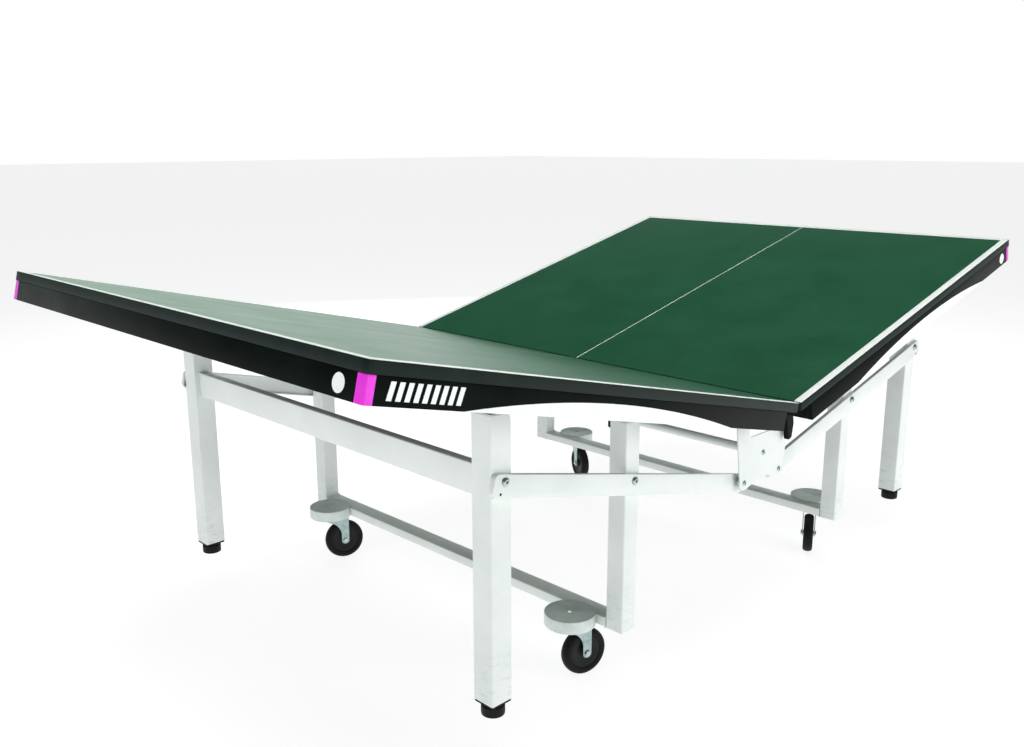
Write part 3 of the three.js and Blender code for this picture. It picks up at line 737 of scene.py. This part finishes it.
# %% Outer legs and feet
for (side, end), across in corners.items():
    place = place_at(side, outer_pivot, 0.0, across)
    low, high = measure(f"{side}_{end}_outer_leg", place)
    shapes = leg_shapes(low, high, low.z, leg_face, leg_coat)
    assemble(f"{side}_{end}_outer_leg_finished", place, f"{side}_outer_frame", shapes)
    print(side, end, "outer leg", round(high.x - low.x), "mm square,", round(high.z - low.z), "mm tall")

# %% [markdown]
# The inner legs are thinner, stop well above the floor and stand on the castors instead. Their
# lower ends are closed by a welded cap with a drain hole in it, drawn as a black disc: painted shade.

# %% Inner legs
for (side, end), across in corners.items():
    place = place_at(side, inner_pivot, 0.0, across)
    low, high = measure(f"{side}_{end}_inner_leg", place)
    shapes = leg_shapes(low, high, low.z + 2.5, leg_face, leg_coat)
    size = high.x - low.x
    middle = ((low.x + high.x) / 2, leg_face - size / 2)
    end_cap = block((low.x + 0.5, leg_face - size + 0.5, low.z),
                    (high.x - 0.5, leg_face - 0.5, low.z + 2.8), 0.9)
    # the drain hole is a black disc: painted shade for its dark inside
    drain = move(turned([(0, 1.0), (6, 1.0), (6, -0.0), (7.2, 0.0), (7.2, 1.4), (0, 1.4)], steps=20),
                 middle[0], middle[1], low.z - 0.05)
    shapes += [dress(end_cap, leg_coat), dress(drain, black_nylon_and_hole_shade)]
    assemble(f"{side}_{end}_inner_leg_finished", place, f"{side}_inner_frame", shapes)

# %% [markdown]
# The feet are moulded rubber pucks on a flange that covers the end of the tube. The puck's profile
# has a small lip at the floor and a step below the flange, so it is spun from its half section.

# %% Feet
for (side, end), across in corners.items():
    place = place_at(side, outer_pivot, 0.0, across)
    name = f"{side}_{end}_foot"
    low, high = measure(name, place)
    leg_end = measure(f"{side}_{end}_outer_leg", place)[0].z
    puck_top = leg_end - 4.5
    radius = 26.0
    puck = turned([(0, low.z), (radius - 3, low.z), (radius - 0.6, low.z + 1.2), (radius, low.z + 3.5),
                   (radius, puck_top - 8), (radius - 2.5, puck_top - 5.5), (radius - 2.5, puck_top),
                   (0, puck_top)], steps=40)
    flange = tube((low.x + 0.5, low.y + 0.5, puck_top - 0.4),
                  (high.x - 0.5, high.y - 0.5, leg_end - gap), 2, 5.0)
    move(puck, 0, (low.y + high.y) / 2, 0)
    shapes = [dress(puck, foot_rubber), dress(flange, foot_rubber)]
    assemble(f"{name}_finished", place, f"{side}_outer_frame", shapes)
print("foot is", 2 * radius, "mm across and ends at the floor when the table is flat")

# %% [markdown]
# ## Crossbars
#
# Rectangular tubes tie each pair of legs together. They meet the legs square and are welded all
# round, so each end gets a thin rounded collar: a weld bead looks like that once it is painted.

# %% Crossbars
def crossbar(node, place, body):
    low, high = measure(node, place)
    shapes = [dress(tube(low, high, 1, 3.0), white_coat)]
    bead = 1.6
    for y in (low.y + bead, high.y - bead):
        collar = block((low.x - bead, y - bead, low.z - bead), (high.x + bead, y + bead, high.z + bead), 1.4)
        shapes.append(dress(collar, white_coat))
    assemble(f"{node}_finished", place, body, shapes)
    return high.x - low.x, high.z - low.z


for side in half_turn:
    outer = crossbar(f"{side}_outer_crossbar", place_at(side, outer_pivot), f"{side}_outer_frame")
    lower = crossbar(f"{side}_lower_crossbar", place_at(side, inner_pivot), f"{side}_inner_frame")
    print(side, "crossbars", [round(v, 1) for v in outer], "and", [round(v, 1) for v in lower], "mm")

# %% [markdown]
# ## Link bars
#
# Each long bar is a steel channel: a flat web facing outwards with its edges folded in. It starts
# as a rounded bar. Its back face is then inset by the wall and pushed forward, which leaves the web
# and its flanges standing, as the folding press would. Bushes fill it where the bolts pass.

# %% Link bars
bar_wall = 3.0


def channel(low, high, corner):
    shape = block(low, high)
    soften(shape, edges_along(shape, 1), corner, steps=6)
    shape.normal_update()
    front = {e for f in shape.faces if f.normal.y > 0.99 for e in f.edges}
    soften(shape, front, 1.0, steps=2)
    shape.normal_update()
    back = [f for f in shape.faces if f.normal.y < -0.99]
    bmesh.ops.inset_region(shape, faces=back, thickness=bar_wall, use_even_offset=True)
    grown = bmesh.ops.extrude_face_region(shape, geom=back)
    bmesh.ops.translate(shape, vec=(0, high.y - low.y - bar_wall, 0),
                        verts=[v for v in grown["geom"] if isinstance(v, bmesh.types.BMVert)])
    bmesh.ops.delete(shape, geom=[f for f in back if f.is_valid], context="FACES_ONLY")
    return shape


for (side, end), across in corners.items():
    place = place_at(side, inner_pivot, tilt, across)
    name = f"{side}_{end}_link_bar"
    low, high = measure(name, place)
    reach = (outer_pivot - inner_pivot).length / MM
    shapes = [dress(channel(low, high, 12.0), white_coat)]
    for x, z in ((pin_x, pin_z), (0, 0), (reach, 0)):
        depth = bar_outer - bar_inner - 1.6
        bush = turned([(6.4, 0), (13, 0), (13, depth), (6.4, depth)], closed=True)
        shapes.append(dress(move(face_out(bush), x, bar_inner, z), white_coat))
        rub_ring = turned([(6.4, 0), (11.5, 0), (11.5, 0.15), (6.4, 0.15)], closed=True)
        shapes.append(dress(move(face_out(rub_ring), x, bar_outer - 0.05, z), bolt_zinc))
    # The small hole near the bar's end is a thin black disc on the web: painted shade for the hole's dark inside.
    hole = turned([(0, -0.05), (2.5, -0.05), (3.1, 0.05), (0, 0.05)], steps=20)
    shapes.append(dress(move(face_out(hole), reach + 8, bar_outer, low.z + 9), black_nylon_and_hole_shade))
    assemble(f"{name}_finished", place, f"{side}_links", shapes)
print("link bar is", round(high.x - low.x), "mm long and", round(high.z - low.z), "mm deep")

# %% [markdown]
# ## Centre plates and tie tube
#
# Two plates stand upright at the net line and hold both halves' link bars. A plate is flame cut
# from 4 mm sheet: two ears reach up to the tops' pins, the sides taper down to two round lobes, and
# an arch relieves the bottom. The ears and lobes are corners rounded to nearly half their width.

# %% Centre plates
lug_height = top_rise
plate_wide, lobe, ear, notch = 128.0, 20.0, 8.5, 120.0
for end, across in (("front", -1), ("rear", 1)):
    place = place_at("right", centre, 0.0, across)
    name = f"{end}_centre_plate"
    low, high = measure(name, place)
    right_half = [(26, -3.0, 30), (plate_span - 12, -lobe, 14), (plate_span + lobe, -lobe, 19.0),
                  (plate_span + lobe, 3, 6), (plate_wide, lug_height - 45, 12),
                  (plate_span + ear, lug_height + ear, 8),
                  (plate_span - ear, lug_height + ear, 8), (plate_span - 2 * ear, notch, 10)]
    outline = right_half + [(-x, z, r) for x, z, r in reversed(right_half)]
    shapes = [dress(slab(outline, plate_inner, plate_outer, rim=0.8), white_coat)]
    for x in (-plate_span, plate_span):
        shapes += [dress(bolt(x, plate_outer - 0.2, 0, 7.5, 3.2), bolt_zinc),
                   dress(washer(x, bar_outer + gap, 0, 13, plate_inner - bar_outer - gap + 0.2), bolt_zinc),
                   dress(bolt(x, bar_inner - gap, 0, 11, 4.5, way=-1), bolt_zinc)]
        stud = move(face_out(turned([(0, 0), (5.9, 0), (5.9, 13.0), (0, 13.0)])), x, bar_inner - 0.8, 0)
        shapes.append(dress(stud, bolt_zinc))
    shapes.append(dress(bolt(0, plate_outer - 0.2, 65, 7.5, 3.2), bolt_zinc))
    assemble(f"{name}_finished", place, "centre_plates", shapes)
    print(end, "plate is", round(high.x - low.x), "by", round(high.z - low.z), "mm")

# %% Tie tube
place = place_at("right", centre)
low, high = measure("tie_tube", place)
radius, reach = (high.x - low.x) / 2, high.y
ring = turned([(radius - 2.5, -reach), (radius - 0.5, -reach), (radius, -reach + 0.5),
               (radius, reach - 0.5), (radius - 0.5, reach), (radius - 2.5, reach)], closed=True)
ring_shape = dress(move(face_out(ring), 0, 0, (low.z + high.z) / 2), white_coat)
bead_section = [(radius - 1, -1.6), (radius + 1.2, -1.2), (radius + 1.4, 0.6), (radius - 1, 1.6)]
beads = [dress(move(face_out(turned(bead_section, closed=True)), 0, y, (low.z + high.z) / 2), white_coat)
         for y in (-reach + 1.8, reach - 1.8)]
assemble("tie_tube_finished", place, "centre_plates", [ring_shape] + beads)
print("tie tube is", round(2 * reach), "mm long")

# %% [markdown]
# ## Castors
#
# Beside each inner leg sits a round castor housing. Its top plate rests over the crossbar's edge and
# has a hole in the middle; its skirt is cut flat against the crossbar. Both are spun, and the skirt
# is then sliced by a plane and the slice filled. The plate's edge is rolled over a little.

# %% Castor cups
cup_radius, cup_wall, cup_plate = 63.0, 5.0, 3.0
castor_out, castor_across = 64.0, 505.0


leg_middle = -5.0
leg_low, leg_high = measure("right_front_inner_leg", place_at("right", inner_pivot, 0.0, -1))
bar_edge = (leg_high.x - leg_low.x) / 2 - castor_out


def castor_point(side, across):
    return Vector((inner_pivot.x + (castor_out + leg_middle) * MM, across * castor_across * MM, 0))


for (side, end), across in corners.items():
    place = place_at(side, castor_point(side, across))
    name = f"{side}_{end}_castor_cup"
    low, high = measure(name, place)
    top, bottom, r = high.z, low.z, cup_radius
    skirt = turned([(r - cup_wall, bottom), (r - 1.2, bottom), (r - 0.2, bottom + 1.5),
                    (r - 0.2, top - 1.5), (r - cup_wall, top - 1.5)], closed=True, steps=64)
    bmesh.ops.bisect_plane(skirt, geom=skirt.verts[:] + skirt.edges[:] + skirt.faces[:], dist=0.001,
                           plane_co=(bar_edge + gap, 0, 0), plane_no=(1, 0, 0), clear_inner=True)
    bmesh.ops.holes_fill(skirt, edges=[e for e in skirt.edges if e.is_boundary], sides=0)
    under = top - cup_plate
    plate = turned([(5.3, under), (r - 0.4, under), (r, under + 0.5), (r, top - 1.0), (r - 1.0, top),
                    (r - 5, top), (r - 6.5, top - 0.5), (6.6, top - 0.5), (5.3, top - 1.2)],
                   closed=True, steps=64)
    shapes = [dress(skirt, cast_coat_and_painted_shade), dress(plate, cast_coat_and_painted_shade)]
    assemble(f"{name}_finished", place, f"{side}_inner_frame", shapes)
print("cup is", 2 * cup_radius, "mm across and", round(top - bottom), "mm deep")

# %% [markdown]
# The fork is pressed from one piece of plated steel. Two race rings with a dark line between them
# carry it on its balls, and two cheeks reach down and back to the axle. A cheek is a cut plate with
# a broad top, a hollow front edge and a round lower end. Each castor is left turned its own way.

# %% Castor forks
trail, wheel_radius, wheel_width = 40.0, 60.0, 30.0
rest_angle = {("left", "front"): radians(-15), ("left", "rear"): radians(-20),
              ("right", "front"): radians(-152), ("right", "rear"): radians(-115)}


def swivel_place(side, end, across):
    return (Matrix.Translation(Matrix.Rotation(half_turn[side], 4, "Z") @ castor_point(side, across))
            @ Matrix.Rotation(rest_angle[side, end], 4, "Z") @ Matrix.Diagonal((MM, MM, MM, 1)))


for (side, end), across in corners.items():
    place = swivel_place(side, end, across)
    name = f"{side}_{end}_castor_fork"
    low, high = measure(name, place)
    race_top = 141.5
    races = turned([(0, race_top), (27, race_top), (30, race_top - 1.5), (30, race_top - 2.8),
                    (28.2, race_top - 3.4),
                    (28.2, race_top - 4.4), (30, race_top - 5), (30, race_top - 7), (27.5, race_top - 8),
                    (0, race_top - 8)], steps=48)
    stem = turned([(0, high.z - 0.8), (7.2, high.z - 0.8), (8, high.z - 1.6), (8, race_top - 1),
                   (0, race_top - 1)])
    shapes = [dress(races, zinc_plate), dress(stem, black_nylon_and_hole_shade)]
    for way in (1, -1):
        y0, y1 = sorted((way * 17.0, way * 20.0))
        cheek = slab([(trail + 12, race_top - 4, 3), (-26, race_top - 4, 2), (-26, race_top - 10, 3),
                      (trail - 12, 108, 44), (trail - 12, wheel_radius - 12, 11.4),
                      (trail + 12, wheel_radius - 12, 11.4)], y0, y1, rim=0.7)
        shapes.append(dress(cheek, zinc_plate))
        nut = turned([(0, 0), (8, 0), (8, 2.6), (6.8, 3.8), (0, 3.8)], steps=6)
        shapes.append(dress(move(face_out(nut, way), trail, way * 19.9, wheel_radius), bolt_zinc))
    crown = block((-25.6, -19.6, race_top - 7.9), (trail + 11.6, 19.6, race_top - 4.1), 1.2)
    shapes.append(dress(crown, zinc_plate))
    axle = move(face_out(turned([(0, -17), (4.9, -17), (4.9, 17), (0, 17)])), trail, 0, wheel_radius)
    shapes.append(dress(axle, bolt_zinc))
    assemble(f"{name}_finished", place, f"{side}_{end}_swivel", shapes)
print("fork stands", round(high.z - low.z), "mm tall")

# %% [markdown]
# The wheel is a solid rubber tyre on a nylon hub. Tyre and hub are spun from their own sections.
# The tread is nearly flat with rounded shoulders, and the hub is dished with a steel bush.

# %% Castor wheels
for (side, end), across in corners.items():
    place = swivel_place(side, end, across)
    half = wheel_width / 2
    r = wheel_radius
    wall, seat = r * 0.70, r * 0.66
    tyre = turned([(wall, -half + 1), (r - 9, -half), (r - 5, -half + 1.6), (r - 2, -half + 5),
                   (r - 0.4, -half + 10), (r, 0), (r - 0.4, half - 10), (r - 2, half - 5),
                   (r - 5, half - 1.6), (r - 9, half), (wall, half - 1), (seat, half - 3),
                   (seat, -half + 3)], closed=True, steps=56)
    hub = turned([(9, -half + 1.4), (12.4, -half + 1.4), (14, -half + 4.5), (26, -half + 5.5),
                  (31, -half + 3.2), (seat + 0.5, -half + 3.2), (seat + 0.5, half - 3.2),
                  (31, half - 3.2), (26, half - 5.5), (14, half - 4.5), (12.4, half - 1.4),
                  (9, half - 1.4)], closed=True, steps=48)
    bush = turned([(5.4, -half - 0.9), (9.2, -half - 0.9), (9.2, half + 0.9), (5.4, half + 0.9)],
                  closed=True)
    shapes = []
    for shape, finish in ((tyre, tyre_rubber), (hub, black_nylon_and_hole_shade), (bush, bolt_zinc)):
        shapes.append(dress(move(face_out(shape), trail, 0, r), finish))
    assemble(f"{side}_{end}_castor_wheel_finished", place, f"{side}_{end}_wheel", shapes)
print("wheel is", 2 * wheel_radius, "mm across")

# %% [markdown]
# ## Floor, light and camera
#
# A plain near-white floor stands in a white room. The room is dim except towards the far end, where
# a bright wall stands: that is what the near top reflects at a low angle, while the dark frame and
# the far top keep their depth. Soft lights from the front right make the long sides brighter than
# the ends, and the lamps themselves aren't reflected. The wall behind is shown white to the camera,
# and the floor glows a little of itself, so that it almost fades into the wall.

# %% Studio
floor_mesh = bpy.data.meshes.new("studio_floor")
floor_shape = bmesh.new()
bmesh.ops.create_grid(floor_shape, x_segments=1, y_segments=1, size=60.0)
bmesh.ops.translate(floor_shape, vec=(0, 0, -0.0005), verts=floor_shape.verts)
floor_shape.to_mesh(floor_mesh)
floor_shape.free()
floor_paint = finish_of("studio_floor_matt_white_paint", ("#9C9D9D", "#A2A3A3"), 900, (0.9, 0.97), 12, 0.02,
                        **{"Specular IOR Level": 0.1, "Emission Color": linear("#FFFFFF"),
                           "Emission Strength": 0.84})
floor_mesh.materials.append(floor_paint)
floor = bpy.data.objects.new("studio_floor", floor_mesh)
bpy.context.scene.collection.objects.link(floor)
floor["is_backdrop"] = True

scene = bpy.context.scene
scene.view_settings.view_transform = "Standard"
world = bpy.data.worlds.new("white_room")
scene.world = world
world.use_nodes = True
room = world.node_tree
room.nodes.clear()
far_wall = (0.70, 0.71, 0.06)
looking = add(room, "ShaderNodeTexCoord").outputs["Generated"]
toward = add(room, "ShaderNodeVectorMath", {0: looking, 1: far_wall}, operation="DOT_PRODUCT")
facing = toward.outputs["Value"]
ahead = add(room, "ShaderNodeMapRange", {"Value": facing, "From Min": 0.1,
                                         "From Max": 0.9}).outputs["Result"]
climb = add(room, "ShaderNodeSeparateXYZ", {"Vector": looking}).outputs["Z"]
low_band = add(room, "ShaderNodeMapRange", {"Value": climb, "From Min": 0.4,
                                            "From Max": 0.1}).outputs["Result"]
wall = add(room, "ShaderNodeMath", {0: ahead, 1: low_band}, operation="MULTIPLY").outputs["Value"]
glow = add(room, "ShaderNodeMapRange", {"Value": wall, "To Min": 0.07, "To Max": 1.5}).outputs["Result"]
lit = add(room, "ShaderNodeBackground", {"Color": linear("#E2F6EA"),
                                         "Strength": glow}).outputs["Background"]
shown = add(room, "ShaderNodeBackground", {"Color": linear("#FFFFFF"),
                                           "Strength": 1.0}).outputs["Background"]
seen = add(room, "ShaderNodeLightPath").outputs["Is Camera Ray"]
choice = add(room, "ShaderNodeMixShader", {0: seen, 1: lit, 2: shown})
add(room, "ShaderNodeOutputWorld", {"Surface": choice.outputs["Shader"]})


def soft_light(name, spot_at, aim, size, power):
    lamp = bpy.data.lights.new(name, "AREA")
    lamp.shape, lamp.size, lamp.energy = "DISK", size, power
    holder = bpy.data.objects.new(name, lamp)
    scene.collection.objects.link(holder)
    holder.location = spot_at
    holder.rotation_euler = (Vector(aim) - Vector(spot_at)).to_track_quat("-Z", "Y").to_euler()
    holder.visible_glossy = False
    return holder


lamps = [soft_light("front_softbox", (1.0, -4.5, 1.2), (0, 0, 0.5), 3.5, 118),
         soft_light("left_softbox", (-4.5, -0.5, 1.0), (0, 0, 0.5), 3.0, 60),
         soft_light("ceiling_softbox", (0, 0, 4.5), (0, 0, 0), 5.0, 170),
         soft_light("back_softbox", (3.0, 4.0, 1.6), (0, 0, 0.4), 3.0, 60)]
print("lights:", [lamp.name for lamp in lamps])

# %% [markdown]
# The camera stands at the near left corner, a little above the top, and looks slightly down along
# the table's length, so the near top is seen almost edge on and the far one opens up behind it.

# %% Camera
heading, pitch, roll = radians(45.404), radians(13.173), radians(-0.125)
forward = Vector((cos(heading) * cos(pitch), sin(heading) * cos(pitch), -sin(pitch)))
level = Vector((sin(heading), -cos(heading), 0))
upward = level.cross(forward)
right = level * cos(roll) + upward * sin(roll)
up = upward * cos(roll) - level * sin(roll)
lens = bpy.data.cameras.new("camera")
lens.lens, lens.sensor_width, lens.clip_start, lens.clip_end = 34.978, 36.0, 0.05, 200.0
camera = bpy.data.objects.new("camera", lens)
scene.collection.objects.link(camera)
stand = Matrix.Translation((-2.2349, -1.9877, 1.2859))
camera.matrix_world = stand @ Matrix((right, up, -forward)).transposed().to_4x4()
scene.camera = camera
print("camera height", round(camera.location.z, 3), "m")

# %% [markdown]
# ## Measure and finish
#
# The box of what is shown is printed at the end.

# %% Sizes and finish
low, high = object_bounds()
print("pieces", totals["pieces"], "triangles", totals["triangles"])
print("visual box in metres:", [round(b - a, 4) for a, b in zip(low, high)])
